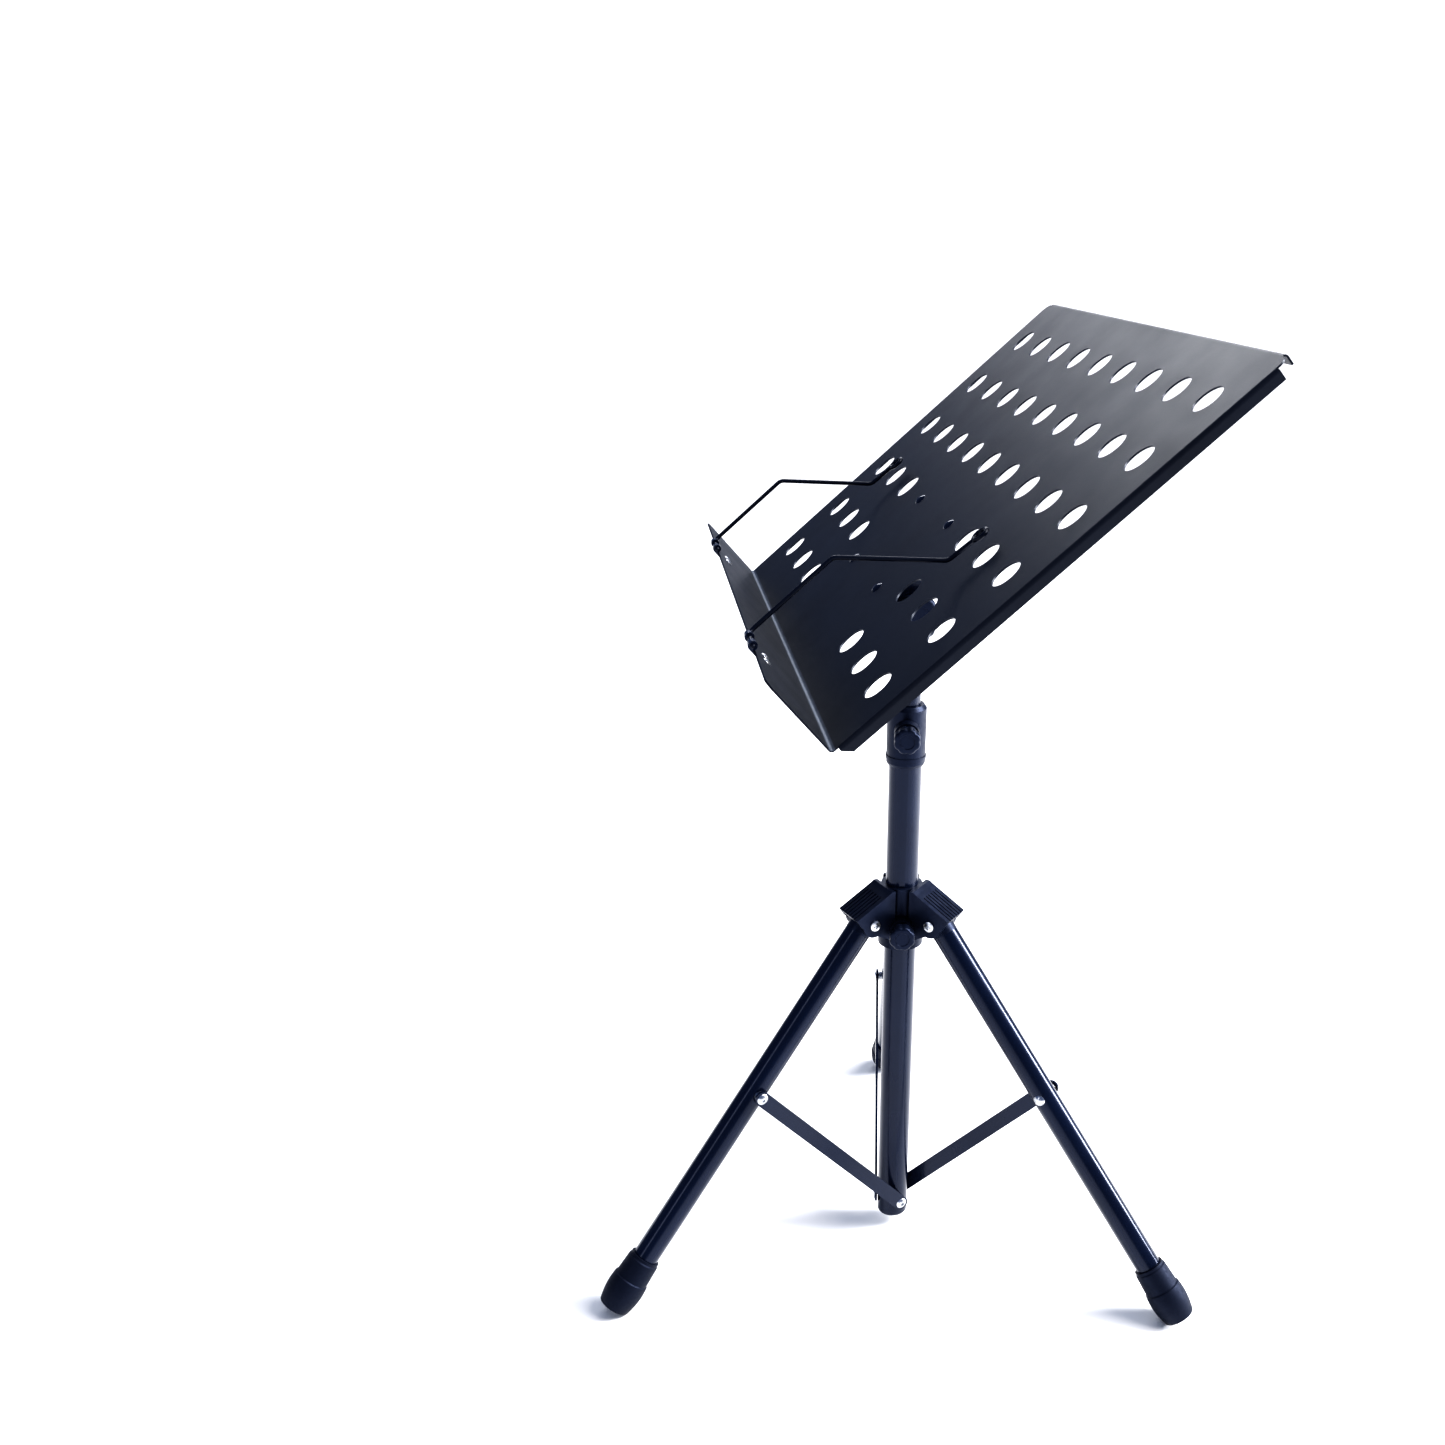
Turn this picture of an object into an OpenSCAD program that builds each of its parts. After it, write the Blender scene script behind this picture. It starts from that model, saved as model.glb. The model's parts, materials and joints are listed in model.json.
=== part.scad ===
// Folding orchestra music stand: perforated sheet desk on a telescopic post with a tripod.
// Millimetres, +Z up, floor at z = 0, post axis on z. The reader stands on the -Y side.

/* [Desk] */
// Width of the desk sheet
desk_w = 480; // [400:5:600]
// Height of the desk sheet from its shelf to its top edge
desk_h = 332; // [270:2:400]
// Thickness of the desk sheet
desk_t = 1.2; // [0.8:0.1:2]
// Depth of the shelf that the music stands on
shelf_d = 57; // [45:1:70]
// Depth of the folded rim along the sides and the top
rim_d = 8; // [6:1:12]
// Radius of the top corners
corner_r = 7; // [5:1:20]
// Diameter of the round holes
hole_d = 21; // [14:0.5:24]
// Distance between columns of holes
hole_pitch_x = 50.5; // [42:0.5:52]
// Distance between rows of holes
hole_pitch_y = 49.5; // [40:0.5:52]
// Columns of holes
hole_columns = 9; // [7:2:9]
// Rows of holes
hole_rows = 6; // [5:1:6]
// Distance from the shelf up to the lowest row of holes
hole_bottom = 43; // [35:1:60]
// Angle of the desk above the horizontal
tilt = 41; // [0:1:75]

/* [Desk mount] */
// Height of the tilt axis above the floor
tilt_z = 534; // [524:1:560]
// Distance from the tilt axis to the face of the desk
face_h = 42; // [38:1:55]
// Distance from the tilt axis down the desk to its shelf
axis_to_shelf = 85; // [75:1:110]
// Width of the mounting plate
plate_w = 116; // [100:1:125]
// Length of the mounting plate up the desk
plate_l = 88; // [80:1:100]
// Diameter of the tilt bolt
tilt_bolt_d = 8; // [6:0.5:10]
// Width of the tongue between the bracket's ears
tongue_w = 18; // [14:1:24]
// Diameter of the tilt knob
tilt_knob_d = 32; // [26:1:38]

/* [Page holders] */
// Distance of each holder's arm from the middle of the desk
holder_x = 142; // [60:1:190]
// Diameter of the holder wire
wire_d = 3; // [2:0.2:4]
// Length of the wire that stands up from the shelf's edge
holder_rise = 70; // [50:1:90]
// Distance that the slanting wire leans in towards the desk
holder_lean = 50; // [30:1:50]
// Length of the slanting wire measured up the desk
holder_climb = 52; // [30:1:70]
// Length of the wire's straight end
holder_end = 20; // [10:1:40]

/* [Post] */
// Outside diameter of the outer tube
post_d = 25; // [21:0.5:30]
// Wall of the outer tube
post_wall = 1.2; // [0.8:0.1:2]
// Height of the outer tube's lower end
post_foot_z = 12; // [12:1:16]
// Height of the outer tube's upper end
post_top_z = 430; // [415:1:440]
// Height of the inner tube's lower end
mast_foot_z = 80; // [70:1:120]
// Wall of the inner tube
mast_wall = 1.2; // [0.8:0.1:2]
// Wall of the plastic glide between the two tubes
glide_wall = 1.2; // [1:0.1:2]
// Length of the glide
glide_l = 24; // [16:1:40]

/* [Collar] */
// Length of the collar
collar_l = 47; // [42:1:60]
// Wall of the collar around the outer tube
collar_wall = 2.2; // [1.8:0.1:4]
// Direction that the collar's knob points, from the +X axis
collar_turn = -10; // [-40:1:40]
// Diameter of the collar's knob and the hub's knob
knob_d = 20; // [16:1:26]
// Diameter of the knobs' threaded studs
stud_d = 6; // [5:0.5:8]

/* [Tripod] */
// Direction of the first leg, from the +X axis
tripod_turn = -69; // [-120:1:120]
// Angle between each leg and the post
leg_angle = 38; // [34:0.5:42]
// Height of the leg pivots above the floor
pivot_z = 292; // [260:1:310]
// Outside diameter of the legs
leg_d = 20; // [16:0.5:24]
// Wall of the leg tubes
leg_wall = 1; // [0.8:0.1:2]
// Distance along a leg from its pivot to its brace rivet
rivet_s = 160; // [130:1:180]
// Height of the brace pins above the floor
pin_z = 24; // [22:1:30]
// Width of the braces
brace_w = 12; // [10:0.5:16]
// Thickness of the braces
brace_t = 2; // [1.5:0.1:3]
// Wall of the hub around the post
hub_wall = 3.5; // [3:0.5:6]
// Thickness of the hub's cheeks
cheek_t = 3.5; // [3:0.5:5]
// Length of a rubber foot along its leg
foot_l = 47; // [40:1:60]

/* [Hidden] */
$fn = 64;
// clearances
turn_gap = 0.08;    // radial, shaft in a bore
slide_gap = 0.05;   // radial, glide on a tube
side_gap = 0.5;     // between pieces that turn side by side
end_gap = 0.3;      // behind a washer or under a rivet head that lets its neighbour turn
stud_gap = 0.4;     // from a stud's tip to the tube it clamps

// desk, in its own frame: x across, y up the desk, z out of its face, tilt axis at the origin
desk_bottom = -axis_to_shelf;
desk_top = desk_bottom + desk_h;
desk_back = face_h - desk_t;
bend_r = 1.5;                  // inside radius of every fold
fold = bend_r + desk_t;        // what a fold takes from each flat
shelf_front = face_h + shelf_d;
rim_stop = corner_r + 1;       // the rim ends this far from a corner
rim_start = 3;                 // and starts this far above the shelf's fold
blank_columns = 3;             // middle columns left out behind the mounting plate
blank_rows = 3;                // lower rows left out behind the mounting plate

// desk mount
plate_t = 1.5;
bracket_t = 2;
washer_t = 1;
plate_y = -20;                 // lower edge of the mounting plate
plate_rivet_x = plate_w / 2 - 10;
plate_rivet_y = [plate_y + 12, plate_y + plate_l - 12];
tilt_bolt_r = tilt_bolt_d / 2;
tongue_r = tilt_bolt_r + 9;
ear_in = tongue_w / 2 + washer_t + end_gap;
ear_out = ear_in + bracket_t;
bracket_top = desk_back - plate_t;
bracket_l = 60;
knob_in = ear_out + 1;         // where the tilt knob starts
tilt_knob_l = 22;
rivet_r = 2.4;
rivet_head_r = 4.6;
rivet_head_h = 1.8;
rivet_eye_r = 1.6;             // the hollow in the head of a tubular rivet
rivet_eye_l = 1.2;

// post and mast
post_r = post_d / 2;
post_bore_r = post_r - post_wall;
glide_r = post_bore_r - slide_gap;
mast_r = glide_r - glide_wall - slide_gap;
head_wall = 3.5;
head_r = mast_r + head_wall;
mast_top_z = tilt_z - tongue_r - 8;
head_foot_z = mast_top_z - 22;
head_top_z = mast_top_z + 4;

// collar
collar_foot_z = post_top_z - 15;
collar_top_z = collar_foot_z + collar_l;
collar_r = post_r + collar_wall;
collar_knob_z = post_top_z + stud_d + 8;
collar_boss_r = knob_d / 2 - 0.5;
collar_face = collar_r + 9;    // where the collar's boss ends
stud_r = stud_d / 2;
insert_r = stud_r + 1.8;       // brass insert around a stud
insert_l = 6;
knob_l = 13;
knob_seat = 1;                 // gap behind a knob

// hub and legs
leg_r = leg_d / 2;
hub_r = post_r + hub_wall;
pivot_r = hub_r + leg_r + 6;
cheek_in = leg_r + side_gap;
cheek_out = cheek_in + cheek_t;
lobe_r = leg_r;                // rounded end of a cheek around the pivot
hub_top_z = pivot_z + leg_r + 15;
hub_foot_z = pivot_z - 26;
hub_knob_z = pivot_z - 6;
hub_face = hub_r + 10;
hub_turn = tripod_turn + 60;
roof_t = 3.5;
roof_in = [hub_r + 4, hub_top_z - 2];
roof_out = [pivot_r + leg_r + 6, pivot_z + leg_r - 3];
roof_ribs = 7;
rib_start = 5;
rib_gap = 1.1;
rib_depth = 0.9;
barrel_r = 3;
screw_r = 1.75;
screw_head_r = 4.2;
screw_head_h = 2;
leg_start = leg_r + 2;         // where a leg's tube starts, from its pivot
foot_end_r = leg_r + 2.6;      // radius of a foot's blunt end
sole_cut = 2.5;                // how deep the floor cuts into its lower corner
foot_end = (pivot_z + sole_cut - foot_end_r * sin(leg_angle)) / cos(leg_angle);
foot_start = foot_end - foot_l;
leg_end = foot_end - 12;
foot_reach = pivot_r + foot_end;

// braces
brace_in = max(post_r, leg_r) + side_gap;   // inner face of a brace, from the leg's plane
brace_out = brace_in + brace_t;
rivet_x = pivot_r + rivet_s * sin(leg_angle);
rivet_z = pivot_z - rivet_s * cos(leg_angle);
brace_angle = atan2(rivet_x, rivet_z - pin_z);
brace_l = norm([rivet_x, rivet_z - pin_z]);
brace_bore_r = rivet_r + turn_gap;

// page holders
holder_r = wire_d / 2;
knuckle_r = holder_r + 1.6;
lug_t = 1;
lug_w = 26;
lug_start = 4;                 // from the arm to the lug
knuckle_l = 6;
shelf_under = desk_bottom - desk_t;
hinge_y = shelf_under - lug_t + knuckle_r;
hinge_z = shelf_front + knuckle_r + 0.4;
ring_r = 5;
bend_r_out = holder_r + 0.06;  // the wire swells this little in its bends

black = "#1b1c20";
dark_steel = "#23262b";
soft_black = "#141416";
silver = "#c9ccd1";
brass = "#b59a55";

LEGS = [1, 2, 3];

// ---- places ----------------------------------------------------------------

// The desk's own frame, on the tilt axis.
module on_desk() {
    translate([0, 0, tilt_z]) rotate([tilt, 0, 0]) children();
}

// x points away from the post along leg i, y runs tangentially, z is up.
module on_arm(i) {
    rotate([0, 0, tripod_turn + 120 * (i - 1)]) children();
}

// z runs down leg i from its pivot, y is the pivot's axis.
module on_leg(i) {
    on_arm(i) translate([pivot_r, 0, pivot_z]) rotate([0, 180 - leg_angle, 0]) children();
}

// z runs up brace i from its lower pin, y is the pin's axis.
module on_brace(i) {
    on_arm(i) translate([0, 0, pin_z]) rotate([0, brace_angle, 0]) children();
}

// z points away from the post, at a height and a direction.
module on_side(turn, z) {
    rotate([0, 0, turn]) translate([0, 0, z]) rotate([0, 90, 0]) children();
}

// ---- shapes that repeat ----------------------------------------------------

// A cylinder along x.
module rod_x(x0, x1, r) {
    translate([x0, 0, 0]) rotate([0, 90, 0]) cylinder(h = x1 - x0, r = r);
}

// A cylinder along y.
module rod_y(y0, y1, r) {
    translate([0, y0, 0]) rotate([-90, 0, 0]) cylinder(h = y1 - y0, r = r);
}

module ring(h, outer, inner) {
    difference() {
        cylinder(h = h, r = outer);
        translate([0, 0, -1]) cylinder(h = h + 2, r = inner);
    }
}

// A quarter of a pipe, the inside of a fold in sheet. It runs along x.
module sheet_fold(length) {
    rotate([90, 0, 90]) linear_extrude(length) intersection() {
        difference() {
            circle(r = fold);
            circle(r = bend_r);
        }
        square(fold);
    }
}

// A domed rivet head with its flat side at z = 0.
module rivet_head(r, h) {
    dome_r = (r * r + h * h) / (2 * h);
    intersection() {
        translate([0, 0, h - dome_r]) sphere(r = dome_r);
        cylinder(h = h + 1, r = r);
    }
}

// The head of a tubular rivet, open in its middle, its flat side at z = 0.
module eyed_head() {
    difference() {
        rivet_head(rivet_head_r, rivet_head_h);
        translate([0, 0, rivet_head_h - rivet_eye_l]) cylinder(h = rivet_head_h, r = rivet_eye_r);
    }
}

// A pan head with a cross recess, its flat side at z = 0.
module cross_head(r, h) {
    slot = r * 1.1;
    difference() {
        union() {
            cylinder(h = h * 0.6, r = r);
            translate([0, 0, h * 0.6]) rivet_head(r, h * 0.4);
        }
        for (turn = [0, 90]) rotate([0, 0, turn])
            translate([-slot / 2, -r * 0.11, h * 0.35]) cube([slot, r * 0.22, h]);
    }
}

// A hand knob along z: a round boss, scalloped flutes and a domed cap. Its seat is at z = 0.
module hand_knob(d, length, flutes, bore_r) {
    r = d / 2;
    flute_r = r * 0.2;
    boss_l = length * 0.25;
    difference() {
        union() {
            cylinder(h = boss_l, r = r * 0.62);
            translate([0, 0, boss_l]) cylinder(h = length * 0.12, r1 = r * 0.84, r2 = r);
            translate([0, 0, boss_l + length * 0.12]) cylinder(h = length * 0.48, r = r);
            translate([0, 0, length * 0.85]) cylinder(h = length * 0.15, r1 = r, r2 = r * 0.8);
        }
        for (k = [0 : flutes - 1]) rotate([0, 0, 360 * k / flutes])
            translate([r + flute_r * 0.45, 0, boss_l - 1]) cylinder(h = length, r = flute_r, $fn = 24);
        translate([0, 0, -1]) cylinder(h = length * 0.75 + 1, r = bore_r);
        translate([0, 0, length - 0.6]) cylinder(h = 1, r = r * 0.5);
    }
}

// ---- desk ------------------------------------------------------------------

function column_x(c) = (c - (hole_columns - 1) / 2) * hole_pitch_x;
function row_y(r) = desk_bottom + hole_bottom + r * hole_pitch_y;
function is_blank(c, r) =
    abs(c - (hole_columns - 1) / 2) <= (blank_columns - 1) / 2 && r < blank_rows;

module desk_plate() {
    half = desk_w / 2 - fold;
    difference() {
        translate([-half, desk_bottom + bend_r, desk_back])
            cube([2 * half, desk_h - bend_r - fold, desk_t]);
        for (s = [-1, 1]) translate([s * half, desk_top - fold, desk_back - 1]) difference() {
            translate([-corner_r, -corner_r, 0]) cube([2 * corner_r, 2 * corner_r, desk_t + 2]);
            translate([-s * corner_r, -corner_r, -1]) cylinder(h = desk_t + 4, r = corner_r);
            translate([s > 0 ? -2 * corner_r : 0, -3 * corner_r, -1])
                cube([2 * corner_r, 2 * corner_r, desk_t + 4]);
            translate([s > 0 ? -2 * corner_r : corner_r, -2 * corner_r, -1])
                cube([corner_r, 4 * corner_r, desk_t + 4]);
        }
    }
}

module side_rim(s) {
    length = desk_h - bend_r - fold - rim_stop - rim_start;
    flat = rim_d - fold;
    translate([s * (desk_w / 2 - fold), desk_bottom + bend_r + rim_start, face_h - fold]) {
        rotate([0, 0, 90]) mirror([0, s > 0 ? 1 : 0, 0]) sheet_fold(length);
        difference() {
            translate([s > 0 ? bend_r : -fold, 0, -flat]) cube([desk_t, length, flat]);
            translate([0, 0, -flat]) rotate([45, 0, 0])
                cube([4 * fold, flat * sqrt(2), flat * sqrt(2)], center = true);
        }
    }
}

module top_rim() {
    half = desk_w / 2 - fold - rim_stop;
    flat = rim_d - fold;
    translate([-half, desk_top - fold, face_h - fold]) {
        sheet_fold(2 * half);
        translate([0, bend_r, -flat]) cube([2 * half, desk_t, flat]);
    }
}

module shelf() {
    half = desk_w / 2 - fold;
    shelf_corner = 6;
    translate([-half, desk_bottom + bend_r, face_h + bend_r]) mirror([0, 1, 0])
        mirror([0, 0, 1]) sheet_fold(2 * half);
    difference() {
        translate([-half, shelf_under, face_h + bend_r]) cube([2 * half, desk_t, shelf_d - bend_r]);
        for (s = [-1, 1]) translate([s * half, shelf_under - 1, shelf_front])
            rotate([-90, 0, 0]) difference() {
                translate([-shelf_corner, -shelf_corner, 0])
                    cube([2 * shelf_corner, 2 * shelf_corner, desk_t + 2]);
                translate([-s * shelf_corner, shelf_corner, -1])
                    cylinder(h = desk_t + 4, r = shelf_corner);
            }
    }
}

module desk_panel() {
    color(dark_steel) on_desk() difference() {
        union() {
            desk_plate();
            side_rim(-1);
            side_rim(1);
            top_rim();
            shelf();
        }
        for (c = [0 : hole_columns - 1], r = [0 : hole_rows - 1]) if (!is_blank(c, r))
            translate([column_x(c), row_y(r), desk_back - 1]) cylinder(h = desk_t + 2, d = hole_d);
        at_plate_rivets() translate([0, 0, desk_back - 1]) cylinder(h = desk_t + 2, r = rivet_r);
        at_lug_rivets() rod_y(shelf_under - 1, desk_bottom + 1, rivet_r);
    }
}

// ---- desk mount ------------------------------------------------------------

module at_plate_rivets() {
    for (s = [-1, 1], y = plate_rivet_y) translate([s * plate_rivet_x, y, 0]) children();
}

module mount_plate() {
    edge_r = 8;
    color(black) on_desk() difference() {
        translate([0, plate_y, bracket_top]) union() {
            translate([-plate_w / 2 + edge_r, 0, 0]) cube([plate_w - 2 * edge_r, plate_l, plate_t]);
            translate([-plate_w / 2, edge_r, 0]) cube([plate_w, plate_l - 2 * edge_r, plate_t]);
            for (s = [-1, 1], y = [edge_r, plate_l - edge_r])
                translate([s * (plate_w / 2 - edge_r), y, 0]) cylinder(h = plate_t, r = edge_r);
        }
        at_plate_rivets() translate([0, 0, bracket_top - 1]) cylinder(h = plate_t + 2, r = rivet_r);
    }
}

// The outline of one ear, seen along x.
module ear_outline() {
    circle(r = tongue_r);
    polygon([[-tongue_r, 0], [tongue_r, 0], [bracket_l / 2, bracket_top], [-bracket_l / 2, bracket_top]]);
}

module tilt_bracket() {
    color(black) on_desk() difference() {
        union() {
            translate([-ear_out, -bracket_l / 2, bracket_top - bracket_t])
                cube([2 * ear_out, bracket_l, bracket_t]);
            for (x = [-ear_out, ear_in]) translate([x, 0, 0])
                rotate([90, 0, 90]) linear_extrude(bracket_t) ear_outline();
        }
        rod_x(-ear_out - 1, ear_out + 1, tilt_bolt_r);
    }
}

module plate_rivets() {
    color(black) on_desk() at_plate_rivets() {
        translate([0, 0, bracket_top]) cylinder(h = plate_t + desk_t, r = rivet_r);
        translate([0, 0, face_h]) rivet_head(rivet_head_r, rivet_head_h);
        translate([0, 0, bracket_top]) mirror([0, 0, 1]) rivet_head(rivet_head_r, rivet_head_h);
    }
}

module tilt_bolt() {
    bolt_end = knob_in + tilt_knob_l * 0.6;
    color(silver) on_desk() {
        rod_x(-ear_out, bolt_end, tilt_bolt_r);
        translate([-ear_out, 0, 0]) rotate([0, -90, 0]) rivet_head(tilt_bolt_r + 4, 4);
    }
}

module tilt_washers() {
    color(soft_black) on_desk() for (x = [-ear_in, ear_in - washer_t])
        translate([x, 0, 0]) rotate([0, 90, 0]) ring(washer_t, tongue_r - 2, tilt_bolt_r);
}

module tilt_knob() {
    color(soft_black) on_desk() translate([knob_in, 0, 0]) rotate([0, 90, 0])
        hand_knob(tilt_knob_d, tilt_knob_l, 10, tilt_bolt_r + 2);
}

module tilt_knob_insert() {
    color(brass) on_desk() translate([knob_in, 0, 0]) rotate([0, 90, 0])
        ring(tilt_knob_l * 0.5, tilt_bolt_r + 2, tilt_bolt_r + turn_gap);
}

// ---- page holders ----------------------------------------------------------

// A straight length of wire between two points, rounded where it starts.
module wire(a, b) {
    run = b - a;
    translate(a) rotate([0, acos(run[2] / norm(run)), atan2(run[1], run[0])])
        cylinder(h = norm(run), r = holder_r, $fn = 32);
    translate(a) sphere(r = bend_r_out, $fn = 32);
}

module holder(x) {
    foot = [x, hinge_y, hinge_z];
    knee = foot + [0, holder_rise, 0];
    ankle = knee + [0, holder_climb, -holder_lean];
    tip = ankle + [0, holder_end, -1];
    pin_end = lug_start + lug_w + 1;
    color(soft_black) on_desk() {
        translate(foot) rod_x(0, pin_end + 1, holder_r);
        translate(foot) rod_x(pin_end, pin_end + 1, holder_r + 0.8);
        wire(foot, knee);
        wire(knee, ankle);
        wire(ankle, tip);
        translate(tip + [0, ring_r, 0]) rotate_extrude() translate([ring_r, 0]) circle(r = holder_r, $fn = 32);
    }
}

module holder_left() { holder(-holder_x); }
module holder_right() { holder(holder_x); }

module lug(x) {
    lug_depth = 20;
    start = x + lug_start;
    color(black) on_desk() difference() {
        union() {
            translate([start, shelf_under - lug_t, shelf_front - lug_depth])
                cube([lug_w, lug_t, lug_depth]);
            for (k = [0, lug_w - knuckle_l]) {
                translate([start + k, shelf_under - lug_t, shelf_front - 1])
                    cube([knuckle_l, lug_t, hinge_z - shelf_front + 1]);
                translate([0, hinge_y, hinge_z]) rod_x(start + k, start + k + knuckle_l, knuckle_r);
            }
        }
        translate([0, hinge_y, hinge_z]) rod_x(start - 1, start + lug_w + 1, holder_r + turn_gap);
        at_lug_rivets() rod_y(shelf_under - lug_t - 1, shelf_under + 1, rivet_r);
    }
}

module lug_left() { lug(-holder_x); }
module lug_right() { lug(holder_x); }

module at_lug_rivets() {
    for (x = [-holder_x, holder_x], k = [7, lug_w - 7])
        translate([x + lug_start + k, 0, shelf_front - 12]) children();
}

module lug_rivets() {
    color(silver) on_desk() at_lug_rivets() {
        rod_y(shelf_under - lug_t, desk_bottom, rivet_r);
        translate([0, desk_bottom, 0]) rotate([-90, 0, 0]) rivet_head(3.4, 1.2);
        translate([0, shelf_under - lug_t, 0]) rotate([90, 0, 0]) rivet_head(3.4, 1.2);
    }
}

// ---- mast ------------------------------------------------------------------

module tilt_head() {
    root_y = sqrt(head_r * head_r - tongue_w * tongue_w / 4) - 1;
    color(soft_black) difference() {
        union() {
            translate([0, 0, head_foot_z]) cylinder(h = head_top_z - head_foot_z - 2, r = head_r);
            translate([0, 0, head_top_z - 2]) cylinder(h = 2, r1 = head_r, r2 = head_r - 2);
            translate([-tongue_w / 2, -root_y, head_top_z - 3])
                cube([tongue_w, 2 * root_y, tilt_z - head_top_z + 3]);
            translate([0, 0, tilt_z]) rod_x(-tongue_w / 2, tongue_w / 2, tongue_r);
        }
        translate([0, 0, head_foot_z - 1]) cylinder(h = mast_top_z - head_foot_z + 1, r = mast_r);
        translate([0, 0, tilt_z]) rod_x(-tongue_w, tongue_w, tilt_bolt_r + turn_gap);
        translate([0, 0, head_foot_z + 10]) rod_y(0, 2 * head_r, screw_r);
    }
}

module head_screw() {
    color(silver) translate([0, 0, head_foot_z + 10]) {
        rod_y(mast_r - mast_wall - 1, head_r, screw_r);
        translate([0, head_r, 0]) rotate([-90, 0, 0]) cross_head(screw_head_r, screw_head_h);
    }
}

module inner_tube() {
    color(silver) difference() {
        translate([0, 0, mast_foot_z])
            ring(mast_top_z - mast_foot_z, mast_r, mast_r - mast_wall);
        translate([0, 0, head_foot_z + 10]) rod_y(0, 2 * head_r, screw_r);
    }
}

module glide() {
    lip = 2;
    color(soft_black) translate([0, 0, mast_foot_z - end_gap]) {
        ring(glide_l, glide_r, mast_r + slide_gap);
        translate([0, 0, -lip]) ring(lip, glide_r, mast_r - mast_wall);
    }
}

// ---- post ------------------------------------------------------------------

module outer_tube() {
    color(black) translate([0, 0, post_foot_z])
        ring(post_top_z - post_foot_z, post_r, post_bore_r);
}

module tube_end_plug() {
    plug_l = 24;
    color(soft_black) {
        translate([0, 0, post_foot_z - 2]) cylinder(h = 2, r1 = post_r - 1, r2 = post_r);
        translate([0, 0, post_foot_z]) cylinder(h = plug_l, r = post_bore_r);
    }
}

module collar() {
    seat = post_top_z;
    color(soft_black) difference() {
        union() {
            translate([0, 0, collar_foot_z]) cylinder(h = 2, r1 = collar_r - 1, r2 = collar_r);
            translate([0, 0, collar_foot_z + 2]) cylinder(h = collar_l - 5, r = collar_r);
            translate([0, 0, collar_top_z - 3]) cylinder(h = 3, r1 = collar_r, r2 = collar_r - 2);
            translate([0, 0, collar_foot_z + 5]) cylinder(h = 2.5, r = collar_r + 0.6);
            on_side(collar_turn, collar_knob_z) cylinder(h = collar_face, r = collar_boss_r);
        }
        translate([0, 0, collar_foot_z - 1]) cylinder(h = seat - collar_foot_z + 1, r = post_r);
        translate([0, 0, seat - 1]) cylinder(h = collar_l, r = mast_r + turn_gap);
        on_side(collar_turn, collar_knob_z) {
            cylinder(h = collar_face + 1, r = stud_r + turn_gap);
            translate([0, 0, collar_face - insert_l]) cylinder(h = insert_l + 1, r = insert_r);
        }
    }
}

module collar_insert() {
    color(brass) on_side(collar_turn, collar_knob_z) translate([0, 0, collar_face - insert_l])
        ring(insert_l, insert_r, stud_r + turn_gap);
}

module collar_knob() {
    color(soft_black) on_side(collar_turn, collar_knob_z) translate([0, 0, collar_face + knob_seat])
        hand_knob(knob_d, knob_l, 8, stud_r);
}

// A stud from a clamped tube out to three quarters of the way into its knob.
module stud(tube_r, face) {
    start = tube_r + stud_gap;
    translate([0, 0, start]) cylinder(h = face + knob_seat + knob_l * 0.75 - start, r = stud_r);
}

module collar_stud() {
    color(silver) on_side(collar_turn, collar_knob_z) stud(mast_r, collar_face);
}

// ---- hub -------------------------------------------------------------------

// The side view of one arm of the hub: x away from the post, y up.
module arm_outline() {
    polygon([
        [hub_r - 2, hub_foot_z + 8], [hub_r - 2, hub_top_z], [hub_r + 1, hub_top_z], roof_in, roof_out,
        [roof_out[0] - 4, roof_out[1] - 6], [pivot_r, pivot_z - lobe_r + 2]
    ]);
    translate([pivot_r, pivot_z]) circle(r = lobe_r);
}

// The channel that the leg's knuckle and tube need.
module arm_channel() {
    slope = atan2(roof_in[1] - roof_out[1], roof_out[0] - roof_in[0]);
    difference() {
        translate([hub_r, hub_foot_z - 30]) square([200, 200]);
        translate(roof_in) rotate(-slope) translate([-50, -roof_t]) square([300, 200]);
    }
}

module hub_arm() {
    slope = atan2(roof_in[1] - roof_out[1], roof_out[0] - roof_in[0]);
    roof_l = norm(roof_out - roof_in);
    rib_pitch = 2 * (cheek_out - 1) / roof_ribs;
    difference() {
        rotate([90, 0, 0]) linear_extrude(2 * cheek_out, center = true) arm_outline();
        rotate([90, 0, 0]) linear_extrude(2 * cheek_in, center = true) arm_channel();
        translate([pivot_r, 0, pivot_z]) rod_y(-cheek_out - 1, cheek_out + 1, barrel_r);
        for (k = [1 : roof_ribs - 1])
            translate([roof_in[0], 0, roof_in[1]]) rotate([0, slope, 0])
                translate([rib_start, -cheek_out + 1 + k * rib_pitch - rib_gap / 2, -rib_depth])
                    cube([roof_l, rib_gap, roof_t]);
    }
}

module hub() {
    color(soft_black) difference() {
        union() {
            translate([0, 0, hub_foot_z]) cylinder(h = hub_top_z - hub_foot_z, r = hub_r);
            translate([0, 0, hub_foot_z]) cylinder(h = 7, r = hub_r + 1.5);
            for (i = LEGS) on_arm(i) hub_arm();
            on_side(hub_turn, hub_knob_z) cylinder(h = hub_face, r = knob_d / 2 - 1);
        }
        translate([0, 0, hub_foot_z - 1])
            cylinder(h = hub_top_z - hub_foot_z + 20, r = post_r + turn_gap);
        on_side(hub_turn, hub_knob_z) {
            cylinder(h = hub_face + 1, r = stud_r + turn_gap);
            translate([0, 0, hub_face - insert_l]) cylinder(h = insert_l + 1, r = insert_r);
        }
    }
}

module hub_insert() {
    color(brass) on_side(hub_turn, hub_knob_z) translate([0, 0, hub_face - insert_l])
        ring(insert_l, insert_r, stud_r + turn_gap);
}

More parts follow.
